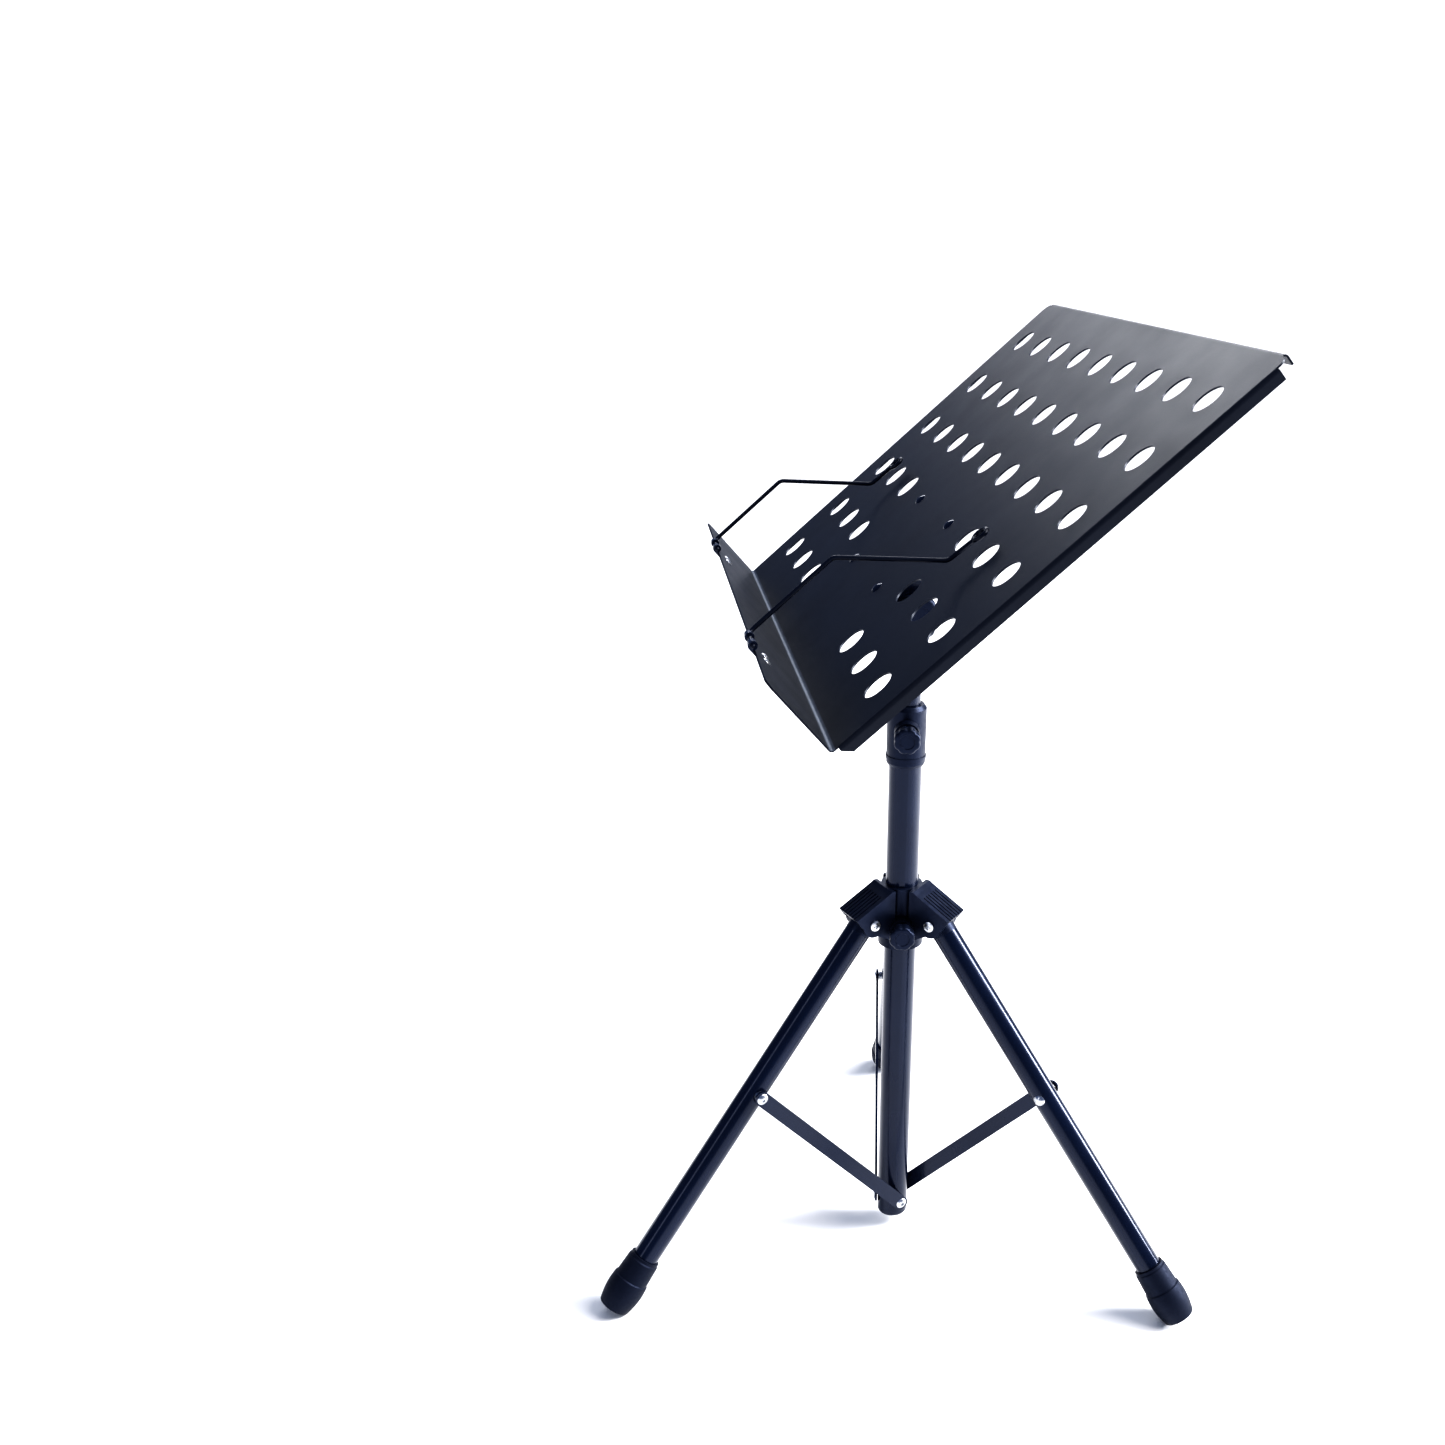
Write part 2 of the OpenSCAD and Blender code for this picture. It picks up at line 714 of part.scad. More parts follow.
module hub_knob() {
    color(soft_black) on_side(hub_turn, hub_knob_z) translate([0, 0, hub_face + knob_seat])
        hand_knob(knob_d, knob_l, 8, stud_r);
}

module hub_stud() {
    color(silver) on_side(hub_turn, hub_knob_z) stud(post_r, hub_face);
}

module pivot_barrels() {
    color(silver) for (i = LEGS) on_arm(i) translate([pivot_r, 0, pivot_z]) difference() {
        rod_y(-cheek_out, cheek_out, barrel_r);
        for (s = [0, 1]) mirror([0, s, 0]) rod_y(cheek_out - 9, cheek_out + 1, screw_r);
    }
}

module pivot_screws() {
    color(silver) for (i = LEGS, s = [-1, 1]) on_arm(i) translate([pivot_r, 0, pivot_z])
        mirror([0, s > 0 ? 0 : 1, 0]) {
            rod_y(cheek_out - 8, cheek_out, screw_r);
            translate([0, cheek_out, 0]) rotate([-90, 0, 0]) cross_head(screw_head_r, screw_head_h);
        }
}

// ---- legs ------------------------------------------------------------------

module leg_tube(i) {
    color(black) on_leg(i) difference() {
        translate([0, 0, leg_start]) ring(leg_end - leg_start, leg_r, leg_r - leg_wall);
        translate([0, 0, rivet_s]) rod_y(-2 * leg_r, 2 * leg_r, rivet_r);
    }
}

module leg_knuckle(i) {
    spigot = 22;
    color(soft_black) on_leg(i) difference() {
        union() {
            rod_y(-leg_r, leg_r, lobe_r);
            cylinder(h = leg_start, r = leg_r);
            cylinder(h = leg_start + spigot, r = leg_r - leg_wall);
        }
        rod_y(-leg_r - 1, leg_r + 1, barrel_r + turn_gap);
    }
}

// The outline of a foot: radius against distance down the leg, from its lip to its blunt end.
module foot_outline() {
    lip_r = leg_r + 1.8;
    sleeve_r = leg_r + 3.4;
    sleeve_l = foot_l * 0.42;
    step = 0.9;
    swell = 0.9;
    edge = 2;
    bulge_l = foot_l - sleeve_l - edge;
    taper = sleeve_r + step - foot_end_r;
    steps = 10;
    body = [for (k = [0 : steps]) let (t = k / steps)
        [sleeve_r + step + swell * sin(180 * t) - taper * t * t, sleeve_l + step + (bulge_l - step) * t]];
    end = [for (a = [30, 60, 90]) [foot_end_r - edge + edge * cos(a), foot_l - edge + edge * sin(a)]];
    polygon(concat([[0, 0], [lip_r, 0], [lip_r, 2], [lip_r + 0.8, 3], [sleeve_r, sleeve_l]], body, end,
        [[0, foot_l]]));
}

module foot(i) {
    color(soft_black) difference() {
        on_leg(i) translate([0, 0, foot_start]) difference() {
            rotate_extrude() foot_outline();
            translate([0, 0, -1]) cylinder(h = leg_end - foot_start + 1, r = leg_r);
        }
        translate([-foot_reach, -foot_reach, -foot_l])
            cube([2 * foot_reach, 2 * foot_reach, foot_l]);
    }
}

module leg_rivet(i) {
    color(silver) on_leg(i) translate([0, 0, rivet_s]) {
        rod_y(-leg_r, brace_out + end_gap, rivet_r);
        difference() {
            union() {
                rod_y(leg_r - 1, brace_in - end_gap, rivet_r + 2);
                translate([0, -leg_r + 0.6, 0]) rotate([90, 0, 0]) rivet_head(rivet_head_r, rivet_head_h + 0.6);
            }
            translate([0, 0, -leg_r]) cylinder(h = 2 * leg_r, r = leg_r);
        }
        translate([0, brace_out + end_gap, 0]) rotate([-90, 0, 0]) eyed_head();
    }
}

// ---- braces ----------------------------------------------------------------

module brace(i) {
    color(black) on_brace(i) rotate([-90, 0, 0]) translate([0, 0, brace_in])
        linear_extrude(brace_t) difference() {
            union() {
                translate([-brace_w / 2, -brace_l]) square([brace_w, brace_l]);
                circle(d = brace_w);
                translate([0, -brace_l]) circle(d = brace_w);
            }
            circle(r = rivet_r);
            translate([0, -brace_l]) circle(r = brace_bore_r);
        }
}

module brace_rivet(i) {
    color(silver) on_brace(i) {
        rod_y(brace_in, brace_out, rivet_r);
        translate([0, brace_out, 0]) rotate([-90, 0, 0]) eyed_head();
    }
}

module leg_tube_1() { leg_tube(1); }
module leg_tube_2() { leg_tube(2); }
module leg_tube_3() { leg_tube(3); }
module leg_knuckle_1() { leg_knuckle(1); }
module leg_knuckle_2() { leg_knuckle(2); }
module leg_knuckle_3() { leg_knuckle(3); }
module foot_1() { foot(1); }
module foot_2() { foot(2); }
module foot_3() { foot(3); }
module leg_rivet_1() { leg_rivet(1); }
module leg_rivet_2() { leg_rivet(2); }
module leg_rivet_3() { leg_rivet(3); }
module brace_1() { brace(1); }
module brace_2() { brace(2); }
module brace_3() { brace(3); }
module brace_rivet_1() { brace_rivet(1); }
module brace_rivet_2() { brace_rivet(2); }
module brace_rivet_3() { brace_rivet(3); }

// ---- drawing ---------------------------------------------------------------

desk_panel();
mount_plate();
tilt_bracket();
plate_rivets();
tilt_bolt();
tilt_washers();
tilt_knob();
tilt_knob_insert();
holder_left();
holder_right();
lug_left();
lug_right();
lug_rivets();
tilt_head();
head_screw();
inner_tube();
glide();
outer_tube();
tube_end_plug();
collar();
collar_insert();
collar_knob();
collar_stud();
hub();
hub_insert();
hub_knob();
hub_stud();
pivot_barrels();
pivot_screws();
leg_tube_1();
leg_tube_2();
leg_tube_3();
leg_knuckle_1();
leg_knuckle_2();
leg_knuckle_3();
foot_1();
foot_2();
foot_3();
leg_rivet_1();
leg_rivet_2();
leg_rivet_3();
brace_1();
brace_2();
brace_3();
brace_rivet_1();
brace_rivet_2();
brace_rivet_3();
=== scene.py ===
import json
import math

import bmesh
import bpy
from bpy.props import FloatProperty, PointerProperty, StringProperty
from mathutils import Matrix, Vector


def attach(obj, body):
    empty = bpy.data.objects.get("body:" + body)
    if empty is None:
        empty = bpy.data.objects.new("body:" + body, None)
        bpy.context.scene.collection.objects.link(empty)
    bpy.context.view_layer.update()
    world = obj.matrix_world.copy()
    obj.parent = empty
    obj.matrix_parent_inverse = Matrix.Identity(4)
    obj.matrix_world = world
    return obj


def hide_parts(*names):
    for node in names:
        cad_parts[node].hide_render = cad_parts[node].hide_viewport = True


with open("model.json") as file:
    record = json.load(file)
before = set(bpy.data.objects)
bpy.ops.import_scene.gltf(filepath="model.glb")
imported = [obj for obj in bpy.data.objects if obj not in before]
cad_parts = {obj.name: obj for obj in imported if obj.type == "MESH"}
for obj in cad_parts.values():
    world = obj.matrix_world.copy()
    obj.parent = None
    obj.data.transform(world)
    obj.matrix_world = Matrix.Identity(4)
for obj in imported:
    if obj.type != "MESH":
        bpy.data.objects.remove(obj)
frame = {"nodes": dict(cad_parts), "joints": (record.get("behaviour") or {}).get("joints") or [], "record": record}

bl_info = {
    "name": "Music stand finish",
    "version": (1, 0, 0),
    "blender": (4, 5, 0),
    "location": "3D View > Sidebar > Music stand",
    "description": "Finishes a folding music stand around its packed frame",
    "category": "Object",
}

NODES = frame["nodes"]
JOINTS = {joint["name"]: joint for joint in frame["joints"]}
MM = 0.001
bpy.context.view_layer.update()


# ---- the stage -------------------------------------------------------------

LENS_MM = 37.74
SENSOR_MM = 36
CAMERA_SHIFT = (-0.0673, 0.0978)
CAMERA_PLACE = (1.0584, -0.2140, 0.7991)
CAMERA_TURN = (66.554, -0.38, 82.135)
LAMPS_AIM = (0, 0, 0.5)
# Each softbox: its place, width, height and share of the lamp strength.
SOFTBOXES = {
    "window_softbox": ((0.15, 1.9, 1.15), 0.45, 1.5, 2.8),
    "back_softbox": ((-2.3, 0.45, 1.9), 1.8, 0.7, 0.8),
    "reader_strip": ((1.0, -1.5, 1.0), 0.25, 1.4, 0.12),
}
SILK_DIRECTION = (-0.12, -0.9, -1)
SILK_ANGLE = 40
FLOOR_HALF = 40


# ---- places worked out from the frame --------------------------------------

def joint_pos(name):
    return Vector(JOINTS[name]["pos_m"])


def joint_axis(name):
    return Vector(JOINTS[name]["axis"]).normalized()


DESK_AXIS = joint_pos("desk_tilt")
MUSIC_FACE = next(m for m in frame["record"]["mounts"] if m["name"] == "music_face")
FACE_NORMAL = Vector(MUSIC_FACE["axis"]).normalized()
ACROSS = Vector((1, 0, 0))
UP_DESK = FACE_NORMAL.cross(ACROSS).normalized()


def axes_to(origin, x, y, z):
    """The matrix that carries a shape drawn at the origin to a place with those axes."""
    turn = Matrix((x, y, z)).transposed().to_4x4()
    return Matrix.Translation(origin) @ turn


# The desk's own frame: x across, y up the desk, z out of its face, tilt axis at the origin.
ON_DESK = axes_to(DESK_AXIS, ACROSS, UP_DESK, FACE_NORMAL)


# The inside of the fold between the desk and its shelf, from the tilt axis, and how far the painted highlight
# along that fold reaches.
FOLD_DOWN, FOLD_OUT = 83.5 * MM, 43.5 * MM
FOLD_REACH_MM = 2.2
SHELF_FOLD = ON_DESK @ Vector((0, -FOLD_DOWN, FOLD_OUT))


def along(origin, direction):
    """The matrix that puts a shape drawn along z on an axis through a point."""
    return Matrix.Translation(origin) @ direction.to_track_quat("Z", "Y").to_matrix().to_4x4()


# ---- colours and materials -------------------------------------------------

def linear(hex_colour):
    """A linear RGBA colour from an sRGB hex string."""
    out = []
    for k in (1, 3, 5):
        c = int(hex_colour[k:k + 2], 16) / 255
        out.append(c / 12.92 if c <= 0.04045 else ((c + 0.055) / 1.055) ** 2.4)
    return (*out, 1.0)


def add(tree, kind, inputs=None, **settings):
    """Adds one node. inputs maps a socket to a value, or to the socket that feeds it."""
    node = tree.nodes.new(kind)
    for name, value in settings.items():
        setattr(node, name, value)
    for socket, value in (inputs or {}).items():
        if isinstance(value, bpy.types.NodeSocket):
            tree.links.new(value, node.inputs[socket])
        else:
            node.inputs[socket].default_value = value
    return node


def new_material(name):
    material = bpy.data.materials.new(name)
    material.use_nodes = True
    tree = material.node_tree
    tree.nodes.clear()
    return material, tree


def per_metre(size_mm):
    """A texture's scale for features of that size on object coordinates in metres."""
    return 1 / (size_mm * MM)


def colour_ramp(tree, factor, stops):
    node = add(tree, "ShaderNodeValToRGB", {"Fac": factor})
    ramp = node.color_ramp
    while len(ramp.elements) < len(stops):
        ramp.elements.new(0.5)
    for element, (place, colour) in zip(ramp.elements, stops):
        element.position = place
        element.color = colour
    return node.outputs["Color"]


def finish_material(tree, shader):
    add(tree, "ShaderNodeOutputMaterial", {"Surface": shader.outputs[0]})


def noise(tree, coords, size_mm, detail=2.0, rough=0.5):
    return add(tree, "ShaderNodeTexNoise", {
        "Vector": coords, "Scale": per_metre(size_mm), "Detail": detail, "Roughness": rough,
    }).outputs["Fac"]


def bump(tree, height, depth_mm, strength=1.0, under=None):
    inputs = {"Height": height, "Distance": depth_mm * MM, "Strength": strength}
    if under is not None:
        inputs["Normal"] = under
    return add(tree, "ShaderNodeBump", inputs).outputs["Normal"]


def spread(tree, factor, low, high):
    """Maps a texture's middle range on to a range of values."""
    return add(tree, "ShaderNodeMapRange", {
        "Value": factor, "From Min": 0.3, "From Max": 0.7, "To Min": low, "To Max": high,
    }).outputs["Result"]


def near_line(tree, coords, place, reach_mm):
    """1 on a line along X through a place, fading to 0 at a reach from it."""
    flat = add(tree, "ShaderNodeMapping", {
        "Vector": coords, "Location": (0, -place[1], -place[2]), "Scale": (0, 1, 1),
    }).outputs["Vector"]
    off = add(tree, "ShaderNodeVectorMath", {0: flat}, operation="LENGTH").outputs["Value"]
    return add(tree, "ShaderNodeMapRange", {
        "Value": off, "From Min": reach_mm * MM, "From Max": reach_mm * 0.5 * MM,
        "To Min": 0.0, "To Max": 1.0,
    }).outputs["Result"]


def powder_coat(name, dark, light, roughness, peel_mm, peel_depth_mm, tint, coat=0.0, fold=None):
    """Baked polyester powder on steel: a tough skin with orange peel, a little uneven in gloss.

    fold is a place on a folded edge and the colour of a highlight painted along that edge.
    """
    material, tree = new_material(name)
    coords = add(tree, "ShaderNodeTexCoord").outputs["Object"]
    cloud = noise(tree, coords, 90, 3)
    peel = noise(tree, coords, peel_mm, 2)
    grit = noise(tree, coords, peel_mm / 4, 1)
    colour = colour_ramp(tree, cloud, [(0.3, linear(dark)), (0.7, linear(light))])
    # Painted highlight: a lighter colour in a thin line along the fold, broken up by noise, in place of the light
    # the folded edge would catch.
    if fold:
        place, fold_highlight_colour = fold
        fold_highlight_breakup = spread(tree, noise(tree, coords, 12, 3), 0.6, 1.0)
        painted_fold_highlight = add(tree, "ShaderNodeMath", {0: near_line(tree, coords, place, FOLD_REACH_MM), 1: fold_highlight_breakup},
                     operation="MULTIPLY").outputs[0]
        colour = add(tree, "ShaderNodeMix", {0: painted_fold_highlight, 6: colour, 7: linear(fold_highlight_colour)},
                     data_type="RGBA").outputs[2]
    gloss = spread(tree, noise(tree, coords, 35, 4), roughness - 0.02, roughness + 0.03)
    skin = bump(tree, peel, peel_depth_mm)
    skin = bump(tree, grit, peel_depth_mm / 3, 0.6, skin)
    finish_material(tree, add(tree, "ShaderNodeBsdfPrincipled", {
        "Base Color": colour, "Roughness": gloss, "IOR": 1.5, "Normal": skin,
        "Specular IOR Level": 0.32, "Specular Tint": linear(tint), "Coat Weight": coat,
        "Coat Roughness": 0.12,
    }))
    return material


def moulded_nylon(name, dark, light, roughness, tint):
    """Glass-filled nylon from a spark-eroded mould: dense black with a fine even grain."""
    material, tree = new_material(name)
    coords = add(tree, "ShaderNodeTexCoord").outputs["Object"]
    colour = colour_ramp(tree, noise(tree, coords, 14, 4), [(0.3, linear(dark)), (0.75, linear(light))])
    grain = add(tree, "ShaderNodeTexVoronoi", {
        "Vector": coords, "Scale": per_metre(0.7),
    }).outputs["Distance"]
    gloss = spread(tree, noise(tree, coords, 6, 3), roughness - 0.07, roughness + 0.08)
    skin = bump(tree, grain, 0.05, 0.5)
    skin = bump(tree, noise(tree, coords, 9, 2), 0.12, 0.4, skin)
    finish_material(tree, add(tree, "ShaderNodeBsdfPrincipled", {
        "Base Color": colour, "Roughness": gloss, "IOR": 1.53, "Normal": skin, "Specular IOR Level": 0.4,
        "Specular Tint": linear(tint),
    }))
    return material


def foot_rubber(name, dark, dusty, tint):
    """Moulded rubber: matt, faintly mottled, and greyed by dust where it meets the floor."""
    material, tree = new_material(name)
    coords = add(tree, "ShaderNodeTexCoord").outputs["Object"]
    height = add(tree, "ShaderNodeSeparateXYZ", {"Vector": coords}).outputs["Z"]
    near_floor = add(tree, "ShaderNodeMapRange", {
        "Value": height, "From Min": 0.0, "From Max": 7 * MM, "To Min": 0.55, "To Max": 0.0,
    }).outputs["Result"]
    mottle = noise(tree, coords, 3, 5, 0.65)
    dust = add(tree, "ShaderNodeMath", {0: near_floor, 1: mottle}, operation="MULTIPLY").outputs[0]
    mix = add(tree, "ShaderNodeMix", {0: dust, 6: linear(dark), 7: linear(dusty)}, data_type="RGBA")
    skin = bump(tree, mottle, 0.12, 0.6)
    finish_material(tree, add(tree, "ShaderNodeBsdfPrincipled", {
        "Base Color": mix.outputs[2], "Roughness": spread(tree, mottle, 0.5, 0.68), "IOR": 1.52,
        "Normal": skin, "Specular IOR Level": 0.4, "Specular Tint": linear(tint),
    }))
    return material


def plated_metal(name, dark, light, roughness, grain_mm):
    """Machined or headed metal with a thin plating: soft drawing lines and a slightly cloudy shine."""
    material, tree = new_material(name)
    coords = add(tree, "ShaderNodeTexCoord").outputs["Object"]
    stretched = add(tree, "ShaderNodeMapping", {"Vector": coords, "Scale": (1, 1, 6)}).outputs["Vector"]
    lines = noise(tree, stretched, grain_mm, 3)
    cloud = noise(tree, coords, 5, 4)
    colour = colour_ramp(tree, cloud, [(0.3, linear(dark)), (0.7, linear(light))])
    finish_material(tree, add(tree, "ShaderNodeBsdfPrincipled", {
        "Base Color": colour, "Metallic": 1.0, "Normal": bump(tree, lines, 0.03, 0.5),
        "Roughness": spread(tree, lines, roughness - 0.06, roughness + 0.1),
    }))
    return material


def studio_paper(name, shade):
    """Matt white seamless paper, with the faint tooth of its pulp."""
    material, tree = new_material(name)
    coords = add(tree, "ShaderNodeTexCoord").outputs["Object"]
    tooth = noise(tree, coords, 2, 3)
    finish_material(tree, add(tree, "ShaderNodeBsdfPrincipled", {
        "Base Color": linear(shade), "Roughness": 0.9, "IOR": 1.45,
        "Normal": bump(tree, tooth, 0.05, 0.2),
    }))
    return material


MATERIALS = {}


def material_for(key):
    """Each finish of the stand, made once."""
    if key in MATERIALS:
        return MATERIALS[key]
    look = bpy.context.scene.stand_look
    makers = {
        "tube_coat": lambda: powder_coat("gloss_black_powder_coat", look.coat_dark, look.coat_light,
                                         0.22, 1.6, 0.02, look.tube_tint, 0.3),
        # The desk's coat carries a painted highlight along the shelf's fold.
        "desk_coat": lambda: powder_coat("satin_charcoal_powder_coat", look.desk_dark, look.desk_light,
                                         0.44, 1.3, 0.03, look.desk_tint,
                                         fold=(SHELF_FOLD, look.desk_fold_highlight)),
        "nylon": lambda: moulded_nylon("moulded_black_nylon", look.nylon_dark, look.nylon_light,
                                       0.4, look.tube_tint),
        "rubber": lambda: foot_rubber("moulded_black_rubber", look.rubber_dark, look.rubber_dust,
                                      look.tube_tint),
        "wire": lambda: powder_coat("dip_coated_spring_wire", look.nylon_dark, look.coat_dark,
                                    0.33, 0.9, 0.015, look.desk_tint),
        "zinc": lambda: plated_metal("bright_zinc_plated_steel", look.zinc_dark, look.zinc_light,
                                     0.24, 0.5),
        "brass": lambda: plated_metal("machined_brass", look.brass_dark, look.brass_light, 0.28, 0.4),
    }
    MATERIALS[key] = makers[key]()
    return MATERIALS[key]


SLOT_FINISH = {
    "powder_coat": "tube_coat", "desk_coat": "desk_coat", "moulded_black": "nylon",
    "foot_rubber": "rubber", "zinc": "zinc", "brass_insert": "brass", "wire_black": "wire",
}
NODE_SLOT = {part["node"]: part["material_slot"] for part in frame["record"]["subparts"]}


def dress(names):
    """Gives CAD nodes the finish of their slot."""
    for name in names:
        materials = NODES[name].data.materials
        materials.clear()
        materials.append(material_for(SLOT_FINISH[NODE_SLOT[name]]))


# ---- shapes ----------------------------------------------------------------

def to_object(name, shape, place, finish, body, angle=35):
    """Turns a bmesh drawn at the origin into a finished piece that rides on a body."""
    bmesh.ops.remove_doubles(shape, verts=shape.verts, dist=1e-6)
    bmesh.ops.transform(shape, matrix=place, verts=shape.verts)
    bmesh.ops.recalc_face_normals(shape, faces=shape.faces)
    mesh = bpy.data.meshes.new(name)
    shape.to_mesh(mesh)
    shape.free()
    mesh.materials.append(material_for(finish))
    mesh.shade_smooth()
    mesh.set_sharp_from_angle(angle=math.radians(angle))
    piece = bpy.data.objects.new(name, mesh)
    bpy.context.scene.collection.objects.link(piece)
    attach(piece, body)
    return piece


def turned(profile, steps=48):
    """A solid of revolution about z from (radius, height) points, closed at its poles."""
    shape = bmesh.new()
    verts = [shape.verts.new((r, 0, z)) for r, z in profile]
    edges = [shape.edges.new(pair) for pair in zip(verts, verts[1:])]
    bmesh.ops.spin(shape, geom=verts + edges, cent=(0, 0, 0), axis=(0, 0, 1),
                   angle=2 * math.pi, steps=steps, use_merge=True)
    bmesh.ops.remove_doubles(shape, verts=shape.verts, dist=1e-6)
    return shape


def arc(centre_point, radius, start, end, count):
    """Points round an arc in the (radius, height) plane, angles in degrees."""
    cr, cz = centre_point
    return [(cr + radius * math.cos(math.radians(a)), cz + radius * math.sin(math.radians(a)))
            for a in (start + (end - start) * k / count for k in range(count + 1))]


def rounded_route(points, bend):
    """A route through points with each corner rounded to a bend radius."""
    route = [points[0]]
    for before, corner, after in zip(points, points[1:], points[2:]):
        into = (corner - before).normalized()
        out = (after - corner).normalized()
        turn = into.angle(out)
        reach = min(bend * math.tan(turn / 2), (corner - before).length / 2, (after - corner).length / 2)
        first = corner - into * reach
        last = corner + out * reach
        for k in range(7):
            t = k / 6
            route.append(first.lerp(corner, t).lerp(corner.lerp(last, t), t))
    route.append(points[-1])
    return route


TIP_WIDTH = 0.55    # a wire tip's end face, as a share of the wire
TIP_REACH = 0.4     # how far a tip stands out, in wire radii


def wire_rod(route, radius, sides=16):
    """A round rod along a route, with a rounded tip at each end."""
    shape = bmesh.new()
    heading = (route[1] - route[0]).normalized()
    last_at = route[0] - heading * radius * TIP_REACH
    ring = bmesh.ops.create_circle(shape, segments=sides, radius=radius * TIP_WIDTH,
                                   matrix=along(last_at, heading))["verts"]
    shape.faces.new(ring)
    edges = list({e for v in ring for e in v.link_edges})
    last_heading = heading
    places = [(route[0], 1 / TIP_WIDTH)] + [(p, 1.0) for p in route[1:]]
    tail = (route[-1] - route[-2]).normalized()
    places.append((route[-1] + tail * radius * TIP_REACH, TIP_WIDTH))
    for k, (at, grow) in enumerate(places):
        near = places[k + 1][0] if k + 1 < len(places) else at + tail
        heading = ((near - at).normalized() + (at - last_at).normalized()).normalized()
        made = bmesh.ops.extrude_edge_only(shape, edges=edges)["geom"]
        verts = [g for g in made if isinstance(g, bmesh.types.BMVert)]
        edges = [g for g in made if isinstance(g, bmesh.types.BMEdge)
                 and all(v in verts for v in g.verts)]
        turn = last_heading.rotation_difference(heading).to_matrix().to_4x4()
        move = Matrix.Translation(at) @ turn @ Matrix.Scale(grow, 4) @ Matrix.Translation(-last_at)
        bmesh.ops.transform(shape, matrix=move, verts=verts)
        last_at = at
        last_heading = heading
    bmesh.ops.holes_fill(shape, edges=edges, sides=0)
    return shape


def hand_knob(radius, length, flutes, bore):
    """A scalloped hand knob along z: a neck, soft flutes, a crowned face with a round dimple."""
    neck = radius * 0.6
    rise = length * 0.24
    crown = radius * 0.16
    profile = [(bore, 0), (neck, 0), (neck, rise)]
    profile += arc((radius - crown, rise + crown), crown, -90, 0, 4)
    profile += arc((radius - crown * 1.4, length - crown * 1.4), crown * 1.4, 0, 90, 5)
    dimple = radius * 0.52
    profile += [(dimple + 0.4 * MM, length), (dimple, length - 0.5 * MM), (0, length - 0.5 * MM)]
    shape = turned([(bore, length * 0.7)] + profile, steps=flutes * 12)
    bmesh.ops.holes_fill(shape, edges=[e for e in shape.edges if e.is_boundary], sides=0)
    depth = radius * 0.075
    for vert in shape.verts:
        out = math.hypot(vert.co.x, vert.co.y)
        if out > neck * 1.05 and vert.co.z > rise * 0.9:
            angle = math.atan2(vert.co.y, vert.co.x)
            wave = 0.5 - 0.5 * math.cos(flutes * angle)
            share = (out - neck) / (radius - neck)
            shrink = 1 - depth / out * (1 - wave) ** 2 * share
            vert.co.x *= shrink
            vert.co.y *= shrink
    return shape


# ---- what a user may set ---------------------------------------------------

class StandSizes(bpy.types.PropertyGroup):
    wire_bend: FloatProperty(name="Wire bend", description="Inside radius of the page holders' bends",
                             default=7 * MM, min=2 * MM, max=15 * MM, unit="LENGTH")
    eye_radius: FloatProperty(name="Wire eye", description="Radius of the eye at a page holder's end",
                              default=5 * MM, min=3 * MM, max=9 * MM, unit="LENGTH")
    wire_radius: FloatProperty(name="Wire radius", description="Half the page holders' wire",
                               default=1.5 * MM, min=1 * MM, max=3 * MM, unit="LENGTH")
    wire_rise: FloatProperty(name="Wire rise",
                             description="From a page holder's hinge to its first bend",
                             default=70 * MM, min=50 * MM, max=90 * MM, unit="LENGTH")
    wire_end: FloatProperty(name="Wire end", description="From a page holder's last bend to its eye",
                            default=20 * MM, min=10 * MM, max=40 * MM, unit="LENGTH")


def hex_property(label, what, value):
    return StringProperty(name=label, description=what + ", as an sRGB hex colour", default=value)


class StandLook(bpy.types.PropertyGroup):
    coat_dark: hex_property("Tube coat, dark", "Coat of the tubes in its darker clouds", "#0b1222")
    coat_light: hex_property("Tube coat, light", "Coat of the tubes in its lighter clouds", "#111a2e")
    desk_dark: hex_property("Desk coat, dark", "Coat of the desk in its darker clouds", "#12161f")
    desk_light: hex_property("Desk coat, light", "Coat of the desk in its lighter clouds", "#191e29")
    # The colour of the painted highlight along the shelf's fold.
    desk_fold_highlight: hex_property("Desk coat, rubbed", "Coat where music rubs the shelf's fold", "#7d8798")
    nylon_dark: hex_property("Nylon, dark", "Moulded pieces in their darker clouds", "#090e1b")
    nylon_light: hex_property("Nylon, light", "Moulded pieces in their lighter clouds", "#0f1626")
    rubber_dark: hex_property("Rubber", "Rubber of the feet", "#0b0f1a")
    rubber_dust: hex_property("Dust", "Dust on the rubber near the floor", "#6f6a62")
    tube_tint: hex_property("Tube sheen", "Tint of the sheen on the tubes and mouldings", "#a9bcf0")
    desk_tint: hex_property("Desk sheen", "Tint of the sheen on the desk and the wires", "#dfe6fa")
    zinc_dark: hex_property("Zinc, dark", "Zinc plate in its darker clouds", "#b4b8be")
    zinc_light: hex_property("Zinc, light", "Zinc plate in its lighter clouds", "#e2e4e8")
    brass_dark: hex_property("Brass, dark", "Brass in its darker clouds", "#a8823c")
    brass_light: hex_property("Brass, light", "Brass in its lighter clouds", "#d8b468")
    paper: hex_property("Backdrop", "Studio paper", "#f6f6f7")
    lamp: FloatProperty(name="Lamp strength", description="Power of the main softbox", default=26.0,
                        min=0.0, max=500.0)
    silk: FloatProperty(name="Overhead strength", description="Power of the overhead light",
                        default=3.1, min=0.0, max=20.0)


# ---- operators, one for each piece or group of like pieces -----------------

END_RISE = 1 * MM       # how far a page holder's last run rises back from the desk
EYE_TURN = 350          # degrees of wire in its eye
EYE_STEPS = 30
# Each hand knob's flutes, and the radius of its bore in millimetres.
KNOBS = {"collar_knob": (8, 3), "hub_knob": (8, 3), "tilt_knob": (10, 6)}


